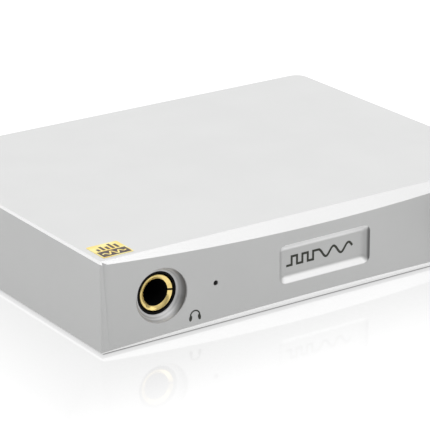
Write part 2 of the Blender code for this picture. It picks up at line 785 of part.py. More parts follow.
def chip(name, x, y, width, length, height, leads):
    """A chip with a row of leads along its front and back."""
    base = BOARD_TOP + GAP
    rise = 0.15
    low = (x - width / 2, y - length / 2, base + rise)
    body = box(name, low, (x + width / 2, y + length / 2, base + height), BLACK)
    pitch = width / leads
    lead_half = pitch * 0.22
    reach = length / 2 + 0.9
    pieces = []
    for index in range(leads):
        centre = x - width / 2 + pitch * (index + 0.5)
        low = (centre - lead_half, y - reach, base)
        high = (centre + lead_half, y + reach, base + rise + 0.15)
        pieces.append(box(f"{name}_lead_{index}", low, high))
    solid = bmesh.new()
    for piece in pieces:
        bpy.context.view_layer.update()
        piece.data.transform(piece.matrix_world)
        solid.from_mesh(piece.data)
        bpy.data.objects.remove(piece, do_unlink=True)
    combine(body, adopt(f"{name}_leads", mesh_from(f"{name}_leads", solid)), "UNION")


def board_parts():
    """What the circuit board carries between the sockets and the controls."""
    chip("usb_interface_chip", 30.0, 62.0, 9.0, 9.0, 1.2, 9)
    chip("dac_chip", -4.0, 52.0, 10.2, 5.3, 1.8, 8)
    chip("line_driver_chip", -28.0, 62.0, 4.9, 3.9, 1.6, 4)
    chip("headphone_driver_chip", -22.0, 30.0, 6.4, 4.4, 1.4, 5)
    chip("control_chip", 24.0, 34.0, 7.0, 7.0, 1.2, 7)
    for name, y in (("clock_44k", 50.0), ("clock_48k", 42.0)):
        box(name, (10.0, y - 1.6, BOARD_TOP + GAP), (15.0, y + 1.6, BOARD_TOP + 1.5), STEEL, bevel=0.2)
    can_radius = 3.15
    can_height = 8.5
    capacitor = [
        (0, can_height),
        (can_radius - 0.35, can_height),
        (can_radius, can_height - 0.4),
        (can_radius, 1.5),
        (can_radius - 0.2, 1.2),
        (can_radius, 0.9),
        (can_radius, 0),
        (0, 0),
    ]
    places = ((-12.0, 38.0), (-12.0, 30.0), (-28.0, 44.0), (-20.0, 44.0))
    for index, (x, y) in enumerate(places, start=1):
        turned(f"capacitor_{index}", capacitor, (x, y, BOARD_TOP + GAP), "up", ALUMINIUM, steps=16)
    low = (40.0, 52.0, BOARD_TOP + GAP)
    box("power_inductor", low, (46.0, 58.0, BOARD_TOP + 3.2), BLACK, bevel=0.6, segments=2)


def set_origin(item, point):
    """Moves an object's origin to a world point and leaves its shape where it is."""
    bpy.context.view_layer.update()
    shift = item.matrix_world.inverted() @ point
    item.data.transform(Matrix.Translation(-shift))
    item.location = point


def main():
    """Builds every part."""
    upper_shell()
    bottom_plate()
    rear_panel()
    case_screws()
    feet()
    corner_sticker()
    headphone_jack()
    status_light()
    volume_control()
    main_board()
    usb_socket()
    shutter = optical_socket()
    line_sockets()
    board_parts()
    set_origin(shutter, place(OPTICAL_X, SHUTTER_AXIS_Y, SHUTTER_AXIS_LEVEL))


main()
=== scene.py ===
"""Looks for the desktop DAC: fine shell, knob, prints and sticker, materials, floor, light and camera.

Lengths in the constants are millimetres; MM turns them into metres. The frame's origin is under the
middle of the object, with +X to the right of the front, -Y out of the front and +Z up.
"""

import json
import math

import bmesh
import bpy
from mathutils import Matrix, Vector


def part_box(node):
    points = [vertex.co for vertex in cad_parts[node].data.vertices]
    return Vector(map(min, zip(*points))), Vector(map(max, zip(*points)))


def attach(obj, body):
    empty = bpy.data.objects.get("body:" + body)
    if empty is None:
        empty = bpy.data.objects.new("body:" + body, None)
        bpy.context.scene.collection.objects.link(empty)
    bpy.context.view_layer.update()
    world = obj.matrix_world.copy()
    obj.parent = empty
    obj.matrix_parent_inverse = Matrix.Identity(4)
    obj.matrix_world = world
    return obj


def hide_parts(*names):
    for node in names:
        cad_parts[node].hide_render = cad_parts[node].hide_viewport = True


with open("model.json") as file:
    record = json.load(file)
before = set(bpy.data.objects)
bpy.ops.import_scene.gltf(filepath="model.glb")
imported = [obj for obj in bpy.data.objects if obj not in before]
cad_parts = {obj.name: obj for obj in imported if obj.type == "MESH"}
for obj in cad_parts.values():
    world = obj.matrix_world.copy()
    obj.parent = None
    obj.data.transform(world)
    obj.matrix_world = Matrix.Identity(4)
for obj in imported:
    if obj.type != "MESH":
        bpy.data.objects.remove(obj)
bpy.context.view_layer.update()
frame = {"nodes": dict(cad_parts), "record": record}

MM = 0.001

# Case, as in the CAD model
WIDTH = 120.6
DEPTH = 91.3
HEIGHT = 22.0
BOW = 2.0
TOP_FACET = 0.65
BOTTOM_FACET = 0.5
LIP = 0.5
BASE_LIP = 0.3
FRONT_CORNER = 0.6
BACK_CORNER = 3.5
SIDE_WALL = 2.5
FRONT_WALL = 3.0
REAR_WALL = 2.2
CEILING = 19.8
WINDOW_HALF = 54.0
WINDOW_TOP = 19.4
EDGE_ROUND = 0.12
AXIS_HEIGHT = 11.0
JACK_X = -45.0
KNOB_X = 45.0
LED_X = -30.7
DISH_DEPTH = 1.2
LED_HOLE = 0.62
JACK_RIM = 6.6
KNOB_RIM = 7.2
NOSE_FLOOR = 5.35
NOSE_HOLE = 5.18
KNOB_FLOOR = 6.4
BUSHING_HOLE = 3.7
LABEL_SIZE = (26.8, 9.9)
LABEL_DEPTH = 1.5
LABEL_CORNER = 1.7
LABEL_GROW = 0.42
LABEL_LEVEL = 11.2
PRINT_LIFT = 0.004  # gap between a print and the surface under it
PRINT_THICKNESS = 0.012

SHELL_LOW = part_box("upper_shell")[0]
FRONT_Y = SHELL_LOW[1] / MM + BOW  # world Y of the front corners
BASE_Z = SHELL_LOW[2] / MM  # world Z of the case's lower edge

# Camera: the photograph's viewpoint, from the case's lower front left corner
CAMERA_OFFSET = (-246.8, -411.1, 209.8)
CAMERA_YAW = 34.0
CAMERA_PITCH = 20.255
CAMERA_ROLL = -0.371
CAMERA_LENS = 196.16


def place(x, distance, height):
    """World point from X, the distance behind the front corners and the height in the case."""
    return Vector((x, FRONT_Y + distance, BASE_Z + height)) * MM


def bow_at(x):
    """How far the bowed front stands out past its corners at this X."""
    half = WIDTH / 2 - FRONT_CORNER
    return BOW * max(0.0, 1 - (x / half) ** 2)


# ---------------------------------------------------------------- shader nodes
# In these helpers a material may also be the world: they only need its node tree.


def shader_of(material):
    """The material's Principled shader."""
    return material.node_tree.nodes["Principled BSDF"]


def node_material(name, colour, roughness, metallic=0.0):
    """A Principled material of one colour."""
    material = bpy.data.materials.new(name)
    material.use_nodes = True
    shader = shader_of(material)
    shader.inputs["Base Color"].default_value = (*colour, 1.0)
    shader.inputs["Roughness"].default_value = roughness
    shader.inputs["Metallic"].default_value = metallic
    return material


def add_node(material, kind, **inputs):
    """One node with its inputs set."""
    node = material.node_tree.nodes.new(kind)
    for key, value in inputs.items():
        node.inputs[key.replace("_", " ")].default_value = value
    return node


def wire(material, output, target):
    """Links two sockets."""
    material.node_tree.links.new(output, target)


def map_range(material, value, low, high, curve="SMOOTHSTEP"):
    """Shader output: a value mapped between two (input, output) pairs."""
    node = material.node_tree.nodes.new("ShaderNodeMapRange")
    node.interpolation_type = curve
    for name, number in zip(("From Min", "To Min", "From Max", "To Max"), (*low, *high)):
        node.inputs[name].default_value = number
    wire(material, value, node.inputs["Value"])
    return node.outputs["Result"]


def vector_math(material, operation, first, second=None):
    """A vector maths node on one socket, with a fixed second vector where it needs one."""
    node = material.node_tree.nodes.new("ShaderNodeVectorMath")
    node.operation = operation
    if second:
        node.inputs[1].default_value = second
    wire(material, first, node.inputs[0])
    return node


def maths(material, operation, first, second):
    """Shader output: two sockets combined by a maths node."""
    node = material.node_tree.nodes.new("ShaderNodeMath")
    node.operation = operation
    wire(material, first, node.inputs[0])
    wire(material, second, node.inputs[1])
    return node.outputs["Value"]


def coordinate(material, kind):
    """Shader output: one of the texture coordinates, such as Object or Normal."""
    return material.node_tree.nodes.new("ShaderNodeTexCoord").outputs[kind]


def components(material, vector):
    """Shader outputs X, Y and Z of a vector."""
    split = material.node_tree.nodes.new("ShaderNodeSeparateXYZ")
    wire(material, vector, split.inputs["Vector"])
    return split.outputs


def mapped(material, vector, location=(0, 0, 0), scale=(1, 1, 1)):
    """Shader output: a vector scaled and then moved."""
    node = material.node_tree.nodes.new("ShaderNodeMapping")
    node.inputs["Location"].default_value = location
    node.inputs["Scale"].default_value = scale
    wire(material, vector, node.inputs["Vector"])
    return node.outputs["Vector"]


def object_noise(material, scale, detail=2.0, stretch=(1, 1, 1)):
    """Noise in object coordinates; the scale is in bumps per metre."""
    noise = add_node(material, "ShaderNodeTexNoise", Scale=scale, Detail=detail)
    stretched = mapped(material, coordinate(material, "Object"), scale=stretch)
    wire(material, stretched, noise.inputs["Vector"])
    return noise


def vary_colour(material, noise, dark, light):
    """Drives the base colour between two near colours."""
    ramp = material.node_tree.nodes.new("ShaderNodeValToRGB")
    for element, place_on_ramp, colour in zip(ramp.color_ramp.elements, (0.35, 0.65), (dark, light)):
        element.position = place_on_ramp
        element.color = (*colour, 1.0)
    wire(material, noise.outputs["Fac"], ramp.inputs["Fac"])
    wire(material, ramp.outputs["Color"], shader_of(material).inputs["Base Color"])


def vary_roughness(material, noise, low, high):
    """Drives the roughness between two values."""
    roughness = map_range(material, noise.outputs["Fac"], (0.3, low), (0.7, high), "LINEAR")
    wire(material, roughness, shader_of(material).inputs["Roughness"])


def add_bump(material, noise, strength, distance):
    """Fine relief from a noise."""
    bump = add_node(material, "ShaderNodeBump", Strength=strength, Distance=distance)
    wire(material, noise.outputs["Fac"], bump.inputs["Height"])
    wire(material, bump.outputs["Normal"], shader_of(material).inputs["Normal"])


def blend_in(material, share, colour):
    """Mixes another colour over what already drives the base colour."""
    base = shader_of(material).inputs["Base Color"]
    mix = material.node_tree.nodes.new("ShaderNodeMix")
    mix.data_type = "RGBA"
    # a Mix node has sockets of the same name for each kind of value, so its colour sockets go by index
    factor, under, over = mix.inputs[0], mix.inputs[6], mix.inputs[7]
    mixed = mix.outputs[2]
    wire(material, base.links[0].from_socket, under)
    over.default_value = (*colour, 1.0)
    wire(material, share, factor)
    wire(material, mixed, base)


# ---------------------------------------------------------------- materials


def scaled(colour, share):
    """A colour made lighter or darker."""
    return tuple(min(1.0, c * share) for c in colour)


def speckled(name, colour, roughness, metallic, grain, variation=0.03, bump=0.1):
    """A material with a fine grain in its colour, roughness and relief."""
    material = node_material(name, colour, roughness, metallic)
    cloud = object_noise(material, 60.0, 3.0)
    fine = object_noise(material, grain, 4.0)
    vary_colour(material, cloud, scaled(colour, 1 - variation), scaled(colour, 1 + variation))
    vary_roughness(material, fine, roughness * 0.88, roughness * 1.12)
    add_bump(material, fine, bump, 0.02 * MM)
    return material


def brushed(name, colour, roughness, metallic, stretch):
    """A turned or brushed metal with fine lines along one direction."""
    material = node_material(name, colour, roughness, metallic)
    lines = object_noise(material, 900.0, 2.0, stretch)
    vary_colour(material, lines, scaled(colour, 0.95), scaled(colour, 1.03))
    vary_roughness(material, lines, roughness * 0.75, roughness * 1.3)
    add_bump(material, lines, 0.06, 0.01 * MM)
    return material


def from_axis(material):
    """Shader output: the offset in X and Z from the axis of the jack or the knob, whichever is near."""
    centre = place(KNOB_X, 0, AXIS_HEIGHT)
    folded = vector_math(material, "ABSOLUTE", coordinate(material, "Object")).outputs["Vector"]
    return mapped(material, folded, (-centre.x, 0, -centre.z), (1, 0, 1))


def turned(name, colour, roughness, metallic, scale, contrast):
    """Lathe-turned metal with fine rings about the axis of the jack or the knob."""
    material = node_material(name, colour, roughness, metallic)
    rings = add_node(material, "ShaderNodeTexWave", Scale=scale, Distortion=0.6)
    rings.wave_type = "RINGS"
    rings.rings_direction = "Y"
    wire(material, from_axis(material), rings.inputs["Vector"])
    vary_roughness(material, rings, roughness * 0.85, roughness * 1.2)
    vary_colour(material, rings, scaled(colour, 1 - contrast), scaled(colour, 1 + contrast / 3))
    add_bump(material, rings, 0.15, 0.01 * MM)
    return material


def dish_material():
    """Turned metal with painted shade on the right of a dish, where its wall is steep and faces left."""
    colour = (0.62, 0.622, 0.63)
    wall_start, wall_end = 4.8 * MM, 6.4 * MM
    material = turned("dished_aluminium_painted_shade", colour, 0.4, 0.4, 600.0, 0.16)
    radius = vector_math(material, "LENGTH", from_axis(material)).outputs["Value"]
    on_wall = map_range(material, radius, (wall_start, 0.0), (wall_end, 1.0))
    normal = components(material, coordinate(material, "Normal"))
    left_wall_painted_shade = map_range(material, normal["X"], (-0.9, 1.0), (-0.3, 0.0))
    # painted shade: the steep wall that faces left is mixed towards a dark copy of the metal
    blend_in(material, maths(material, "MULTIPLY", on_wall, left_wall_painted_shade), scaled(colour, 0.3))
    return material


def pocket_material():
    """Milled aluminium with painted highlights on the walls that face up or down, painted shade on the
    walls that face left and a painted shadow line at the right-hand rim.
    """
    material = speckled("pocket_aluminium_painted_light", (0.475, 0.478, 0.475), 0.4, 0.4, 7000.0, variation=0.012)
    normal = components(material, coordinate(material, "Normal"))
    # painted highlights on the walls that face up or down
    up_wall_painted_highlight = map_range(material, normal["Z"], (0.3, 0.0), (0.68, 1.0))
    blend_in(material, up_wall_painted_highlight, (0.97, 0.97, 0.97))
    down_wall_painted_highlight = map_range(material, normal["Z"], (-0.55, 1.0), (-0.1, 0.0))
    blend_in(material, down_wall_painted_highlight, (0.9, 0.9, 0.9))
    # painted shade on the walls that face left
    left_wall_painted_shade = map_range(material, normal["X"], (-0.7, 1.0), (-0.05, 0.0))
    blend_in(material, left_wall_painted_shade, (0.41, 0.41, 0.41))
    # a painted shadow line along the right-hand rim
    spot = components(material, coordinate(material, "Object"))
    rim = LABEL_SIZE[0] / 2 * MM
    rim_painted_shadow = map_range(material, spot["X"], (rim - 1.0 * MM, 0.0), (rim - 0.5 * MM, 1.0))
    blend_in(material, rim_painted_shadow, (0.12, 0.12, 0.12))
    return material


def foil_material():
    """Gold printed foil whose tint shifts softly across it."""
    gold = (1.0, 0.76, 0.2)
    material = node_material("sticker_gold_foil", gold, 0.35, 0.35)
    cloud = object_noise(material, 180.0, 1.0, (1.0, 2.2, 1.0))
    vary_colour(material, cloud, (0.98, 0.7, 0.13), (1.0, 0.9, 0.38))
    fine = object_noise(material, 9000.0, 2.0)
    add_bump(material, fine, 0.08, 0.01 * MM)
    return material


def board_material():
    """Green solder mask with the lighter lines of copper tracks under it."""
    material = node_material("board_green", (0.01, 0.07, 0.035), 0.35)
    tracks = add_node(material, "ShaderNodeTexBrick", Scale=220.0)
    tracks.inputs["Color1"].default_value = (0.008, 0.06, 0.03, 1)
    tracks.inputs["Color2"].default_value = (0.012, 0.08, 0.04, 1)
    tracks.inputs["Mortar"].default_value = (0.03, 0.16, 0.08, 1)
    wire(material, coordinate(material, "Object"), tracks.inputs["Vector"])
    wire(material, tracks.outputs["Color"], shader_of(material).inputs["Base Color"])
    return material


SATIN = speckled("satin_aluminium", (0.5, 0.503, 0.5), 0.46, 0.35, 7000.0, variation=0.012, bump=0.12)
# the top's copy of the satin aluminium is painted lighter than the front and sides: painted light from
# above
TOP_SATIN_PAINTED_LIGHTER = speckled("top_aluminium_painted_lighter", (0.725, 0.728, 0.725), 0.5, 0.25, 7000.0, variation=0.01, bump=0.1)
BRIGHT = speckled("cut_aluminium", (0.9, 0.9, 0.9), 0.24, 0.85, 5000.0, variation=0.008, bump=0.05)
DISH = dish_material()
POCKET = pocket_material()
INSIDE = speckled("machined_inside", (0.5, 0.5, 0.51), 0.5, 0.8, 3000.0)
PLATE = speckled("plate_aluminium", (0.62, 0.625, 0.63), 0.45, 0.6, 6000.0, variation=0.015)
KNOB = turned("turned_aluminium", (0.78, 0.785, 0.79), 0.32, 0.8, 450.0, 0.12)
STEEL = brushed("zinc_steel", (0.6, 0.6, 0.61), 0.3, 1.0, (1, 1, 0.05))
GOLD = brushed("gold_plate", (0.86, 0.67, 0.27), 0.2, 1.0, (1, 0.05, 1))
BLACK = speckled("black_plastic", (0.012, 0.012, 0.013), 0.42, 0.0, 4000.0, variation=0.2)
# deep black: the jack housing's own black, and painted shade in the gold ferrule's bore and key slot
DEEP_BLACK_AND_BORE_SHADE = speckled("black_and_painted_bore_shade", (0.003, 0.003, 0.003), 0.7, 0.0, 4000.0, variation=0.2)
WHITE = speckled("white_plastic", (0.8, 0.8, 0.78), 0.4, 0.0, 4000.0, variation=0.02)
RED = speckled("red_plastic", (0.5, 0.012, 0.015), 0.35, 0.0, 4000.0, variation=0.06)
ORANGE = speckled("orange_plastic", (0.8, 0.2, 0.02), 0.35, 0.0, 4000.0, variation=0.06)
SMOKED = speckled("smoked_acrylic", (0.004, 0.004, 0.004), 0.4, 0.0, 2000.0, variation=0.1, bump=0.02)
RUBBER = speckled("black_rubber", (0.02, 0.02, 0.02), 0.85, 0.0, 5000.0, variation=0.2, bump=0.3)
CHIP = speckled("chip_epoxy", (0.02, 0.02, 0.021), 0.5, 0.0, 6000.0, variation=0.2)
CAN = brushed("drawn_can", (0.75, 0.75, 0.76), 0.3, 1.0, (1, 1, 0.04))
INK = speckled("dark_ink", (0.045, 0.047, 0.04), 0.5, 0.0, 5000.0, variation=0.15)
BROWN_INK = speckled("brown_ink", (0.045, 0.02, 0.016), 0.35, 0.0, 5000.0, variation=0.15)
FOIL = foil_material()
BOARD = board_material()

for dull in (DEEP_BLACK_AND_BORE_SHADE, SMOKED, INK):
    shader_of(dull).inputs["Specular IOR Level"].default_value = 0.12

NODE_FINISH = {
    "case_aluminium": PLATE,
    "knob_aluminium": KNOB,
    "steel": STEEL,
    "gold_plate": GOLD,
    "black_plastic": BLACK,
    "white_plastic": WHITE,
    "red_plastic": RED,
    "orange_plastic": ORANGE,
    "light_pipe": SMOKED,
    "rubber": RUBBER,
    "sticker_foil": FOIL,
    "board_green": BOARD,
    "chip_black": CHIP,
    "can_aluminium": CAN,
    "screw_steel": STEEL,
}


def dress_cad_nodes():
    """Every CAD node takes the material of its slot, but the jack housing takes the deep black."""
    slot_of = {part["node"]: part["material_slot"] for part in frame["record"]["subparts"]}
    for name, item in frame["nodes"].items():
        item.data.materials.clear()
        item.data.materials.append(DEEP_BLACK_AND_BORE_SHADE if name == "jack_housing" else NODE_FINISH[slot_of[name]])


# ---------------------------------------------------------------- mesh tools


def link(name, mesh):
    """A new object for a mesh."""
    item = bpy.data.objects.new(name, mesh)
    bpy.context.scene.collection.objects.link(item)
    return item


def turn_outward(solid):
    """Flips each closed body whose faces point inward, as a thin curved film's can."""
    waiting = set(solid.faces)
    while waiting:
        body = set()
        edge_of_body = [waiting.pop()]
        while edge_of_body:
            face = edge_of_body.pop()
            body.add(face)
            nearby = {other for edge in face.edges for other in edge.link_faces} & waiting
            waiting -= nearby
            edge_of_body += nearby
        volume = sum(face.calc_area() * face.normal.dot(face.calc_center_median()) for face in body)
        if volume < 0:
            bmesh.ops.reverse_faces(solid, faces=list(body))


def from_bmesh(name, solid, angle=30):
    """A linked object from a bmesh, smooth but for the edges sharper than the angle in degrees."""
    mesh = bpy.data.meshes.new(name)
    bmesh.ops.recalc_face_normals(solid, faces=solid.faces)
    turn_outward(solid)
    solid.to_mesh(mesh)
    solid.free()
    mesh.shade_smooth()
    mesh.set_sharp_from_angle(angle=math.radians(angle))
    return link(name, mesh)


def prism(points, low, high):
    """A bmesh prism over an outline of (x, distance back) points, between two levels."""
    solid = bmesh.new()
    ring = [solid.verts.new(place(x, y, low)) for x, y in points]
    base = solid.faces.new(ring)
    lifted = bmesh.ops.extrude_face_region(solid, geom=[base])["geom"]
    upper = [item for item in lifted if isinstance(item, bmesh.types.BMVert)]
    bmesh.ops.translate(solid, verts=upper, vec=(0, 0, (high - low) * MM))
    return solid


def block(low, high):
    """A bmesh block between two corners given as (x, distance back, height)."""
    first, last = place(*low), place(*high)
    size = last - first
    matrix = Matrix.Translation((first + last) / 2) @ Matrix.Diagonal((*size, 1.0))
    solid = bmesh.new()
    bmesh.ops.create_cube(solid, size=1.0, matrix=matrix)
    return solid


def lathe(profile, origin, facing, steps=96, shape=None):
    """A bmesh turned from (radius, height) points; shape changes a radius by its angle and height."""
    solid = bmesh.new()
    rows = []
    for radius, height in profile:
        if radius == 0:
            rows.append([solid.verts.new((0, 0, height * MM))])
            continue
        row = []
        for step in range(steps):
            angle = 2 * math.pi * step / steps
            reach = shape(radius, angle, height) if shape else radius
            point = Vector((reach * math.cos(angle), reach * math.sin(angle), height))
            row.append(solid.verts.new(point * MM))
        rows.append(row)
    pairs = list(zip(rows, rows[1:]))
    if profile[0][0] > 0:
        pairs.append((rows[-1], rows[0]))
    for upper, lower in pairs:
        for step in range(steps):
            after = (step + 1) % steps
            corners = [upper[step % len(upper)], lower[step % len(lower)]]
            corners += [lower[after % len(lower)], upper[after % len(upper)]]
            corners = list(dict.fromkeys(corners))
            if len(corners) > 2:
                solid.faces.new(corners)
    bmesh.ops.recalc_face_normals(solid, faces=solid.faces)
    turn = {"front": 90, "back": -90, "up": 0}[facing]
    matrix = Matrix.Translation(place(*origin)) @ Matrix.Rotation(math.radians(turn), 4, "X")
    bmesh.ops.transform(solid, matrix=matrix, verts=solid.verts)
    return solid


def cut(item, tool_mesh):
    """Cuts a bmesh tool out of an object and applies the cut."""
    tool = from_bmesh("tool", tool_mesh)
    change = item.modifiers.new("cut", "BOOLEAN")
    change.operation = "DIFFERENCE"
    change.solver = "EXACT"
    change.object = tool
    apply_modifiers(item)
    bpy.data.objects.remove(tool, do_unlink=True)


def apply_modifiers(item):
    """Replaces an object's mesh with what its modifiers make of it."""
    bpy.context.view_layer.update()
    made = item.evaluated_get(bpy.context.evaluated_depsgraph_get())
    mesh = bpy.data.meshes.new_from_object(made)
    item.modifiers.clear()
    item.data = mesh


def round_edges(item, width):
    """Rounds an object's sharp edges and keeps its flat faces flat."""
    change = item.modifiers.new("round", "BEVEL")
    change.width = width * MM
    change.segments = 2
    change.limit_method = "ANGLE"
    change.angle_limit = math.radians(28)
    change.miter_outer = "MITER_ARC"
    change.harden_normals = False
    apply_modifiers(item)
    item.data.shade_smooth()
    item.data.set_sharp_from_angle(angle=math.radians(40))
    weighted = item.modifiers.new("flat_faces", "WEIGHTED_NORMAL")
    weighted.keep_sharp = True


# ---------------------------------------------------------------- the case


def arc(centre, radius, start, end, segments):
    """Points on an arc, in degrees."""
    points = []
    for step in range(segments + 1):
        angle = math.radians(start + (end - start) * step / segments)
        points.append((centre[0] + radius * math.cos(angle), centre[1] + radius * math.sin(angle)))
    return points


def rounded(left, front, right, rear, radius):
    """Points round a rectangle with round corners."""
    inner_left, inner_right = left + radius, right - radius
    inner_front, inner_rear = front + radius, rear - radius
    points = arc((inner_right, inner_front), radius, 270, 360, 6)
    points += arc((inner_right, inner_rear), radius, 0, 90, 6)
    points += arc((inner_left, inner_rear), radius, 90, 180, 6)
    points += arc((inner_left, inner_front), radius, 180, 270, 6)
    return points


def case_outline():
    """The case from above: a bowed front, tight front corners and round back corners."""
    bow_half = WIDTH / 2 - FRONT_CORNER
    bow_steps = 96
    points = []
    for step in range(1, bow_steps):
        x = -bow_half + 2 * bow_half * step / bow_steps
        points.append((x, -bow_at(x)))
    points += arc((bow_half, FRONT_CORNER), FRONT_CORNER, 270, 360, 8)
    inner = WIDTH / 2 - BACK_CORNER
    points += arc((inner, DEPTH - BACK_CORNER), BACK_CORNER, 0, 90, 20)
    points += arc((-inner, DEPTH - BACK_CORNER), BACK_CORNER, 90, 180, 20)
    points += arc((-bow_half, FRONT_CORNER), FRONT_CORNER, 180, 270, 8)
    return points


def chamfer_rim(solid, height, width):
    """Chamfers the outline's edges at one level, leaving out the front."""
    level = place(0, 0, height).z
    front = place(0, 0, 0).y
    near = 0.01 * MM
    edges = []
    for edge in solid.edges:
        at_level = all(abs(vert.co.z - level) < near for vert in edge.verts)
        on_front = all(vert.co.y < front + near for vert in edge.verts)
        if at_level and not on_front:
            edges.append(edge)
    bmesh.ops.bevel(solid, geom=edges, offset=width * MM, segments=1, affect="EDGES", profile=0.5)


def facet_tool(distance, top):
    """A block that takes off the front's top or bottom edge at 45 degrees."""
    length = WIDTH + 10
    size = 16.0
    solid = bmesh.new()
    shape = Matrix.Diagonal((length * MM, size * MM, size * MM, 1))
    bmesh.ops.create_cube(solid, size=1.0, matrix=shape)
    outward = Vector((0, -1, 1 if top else -1)).normalized()
    middle = place(0, distance, HEIGHT if top else 0) + outward * size / 2 * MM
    turn = Matrix.Rotation(math.radians(45 if top else 135), 4, "X")
    bmesh.ops.transform(solid, matrix=Matrix.Translation(middle) @ turn, verts=solid.verts)
    return solid


def dish_tool(x, rim, floor, hole, depth):
    """A dished recess with a hole through its floor."""
    rise = DISH_DEPTH + 1.0
    lowered = 0.97  # the wall starts a little below the rim
    past = 6.0
    steps = 16
    profile = [(0, rise + past), (rim + 0.6, rise + past), (rim + 0.1, rise)]
    for step in range(steps + 1):
        share = step / steps
        radius = floor + (rim - floor) * math.cos(share * math.pi / 2)
        profile.append((radius, rise * (1 - share) * lowered))
    profile += [(hole, 0), (hole, -past), (0, -past)]
    return lathe(profile, (x, depth, AXIS_HEIGHT), "front", 112)


def light_hole_tool():
    """A plain pin hole through the front wall."""
    length = 20.0
    profile = [(0, length), (LED_HOLE, length), (LED_HOLE, 0), (0, 0)]
    return lathe(profile, (LED_X, length / 2, AXIS_HEIGHT), "front", 32)


def label_tool():
    """A pocket with round corners: 45 degree walls, rounded over at the rim and run into the floor."""
    width, height = LABEL_SIZE
    rim_round = 1.2
    above = 0.03  # how far the rim's round starts in front of the front's middle
    fillet = 1.8
    floor_edge = LABEL_DEPTH + 1.28
    round_steps = 8
    profile = [(-LABEL_GROW - 0.02, -1.0)]
    for step in range(round_steps + 1):
        angle = math.radians(45 * step / round_steps)
        inset = rim_round * math.sin(angle) - LABEL_GROW
        profile.append((inset, rim_round * (1 - math.cos(angle)) - above))
    for step in range(round_steps + 1):
        angle = math.radians(45 * (1 - step / round_steps))
        inset = floor_edge - LABEL_GROW - fillet * math.sin(angle)
        profile.append((inset, LABEL_DEPTH - fillet * (1 - math.cos(angle))))
    solid = bmesh.new()
    loops = []
    for inset, depth in profile:
        half_width, half_height = width / 2 - inset, height / 2 - inset
        corner = max(LABEL_CORNER - inset * 0.5, 0.6)
        outline = rounded(-half_width, -half_height, half_width, half_height, corner)
        loops.append([solid.verts.new(place(x, depth - BOW, LABEL_LEVEL + z)) for x, z in outline])
    solid.faces.new(loops[0])
    solid.faces.new(loops[-1])
    for outer, inner in zip(loops, loops[1:]):
        for index in range(len(outer)):
            after = (index + 1) % len(outer)
            solid.faces.new((outer[index], outer[after], inner[after], inner[index]))
    return solid


def face_finish(face):
    """The material that one of the shell's faces takes, from the way it faces and where it is."""
    x = face.center.x / MM
    behind = face.center.y / MM - FRONT_Y
    height = face.center.z / MM - BASE_Z
    depth = behind + bow_at(x)  # behind the bowed front
    near = 0.01
    dish_starts, pocket_starts = 0.05, 0.08  # depths behind the front
    upper_facets, lower_facets = HEIGHT - 4, 3.2  # the facets stay above and below these heights
    in_hollow = abs(x) < WIDTH / 2 - SIDE_WALL + near and height < CEILING + near
    if in_hollow and behind > FRONT_WALL - near:
        return INSIDE
    # faces that point up at the top take the lighter copy: painted light
    if face.normal.z > 0.9 and height > HEIGHT - 1:
        return TOP_SATIN_PAINTED_LIGHTER
    for axis_x, rim in ((JACK_X, JACK_RIM), (KNOB_X, KNOB_RIM)):
        reach = math.hypot(x - axis_x, height - AXIS_HEIGHT)
        if reach < rim + EDGE_ROUND and depth > dish_starts:
            return DISH
    across, above = (size / 2 + LABEL_GROW for size in LABEL_SIZE)
    if abs(x) < across and abs(height - LABEL_LEVEL) < above and depth > pocket_starts:
        return POCKET
    slanted = 0.35 < abs(face.normal.z) < 0.93
    if slanted and (height > upper_facets or height < lower_facets):
        return BRIGHT
    return SATIN


def build_shell():
    """The machined case with fine edges, in place of the plain CAD shell."""
    solid = prism(case_outline(), 0, HEIGHT)
    chamfer_rim(solid, HEIGHT, LIP)
    chamfer_rim(solid, 0, BASE_LIP)
    shell = from_bmesh("case_shell", solid)
    side = WIDTH / 2 - SIDE_WALL
    tools = [
        facet_tool(TOP_FACET, top=True),
        facet_tool(BOTTOM_FACET, top=False),
        block((-side, FRONT_WALL, -2), (side, DEPTH - REAR_WALL, CEILING)),
        block((-WINDOW_HALF, DEPTH - REAR_WALL - 0.2, -3), (WINDOW_HALF, DEPTH + 3, WINDOW_TOP)),
        dish_tool(JACK_X, JACK_RIM, NOSE_FLOOR, NOSE_HOLE, DISH_DEPTH - 0.05),
        dish_tool(KNOB_X, KNOB_RIM, KNOB_FLOOR, BUSHING_HOLE, DISH_DEPTH),
        light_hole_tool(),
        label_tool(),
    ]
    for tool in tools:
        cut(shell, tool)
    round_edges(shell, EDGE_ROUND)
    finishes = (SATIN, TOP_SATIN_PAINTED_LIGHTER, BRIGHT, INSIDE, DISH, POCKET)
    shell.data.materials.clear()
    for material in finishes:
        shell.data.materials.append(material)
    for face in shell.data.polygons:
        face.material_index = finishes.index(face_finish(face))
    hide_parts("upper_shell")
    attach(shell, "case")


# ---------------------------------------------------------------- knob


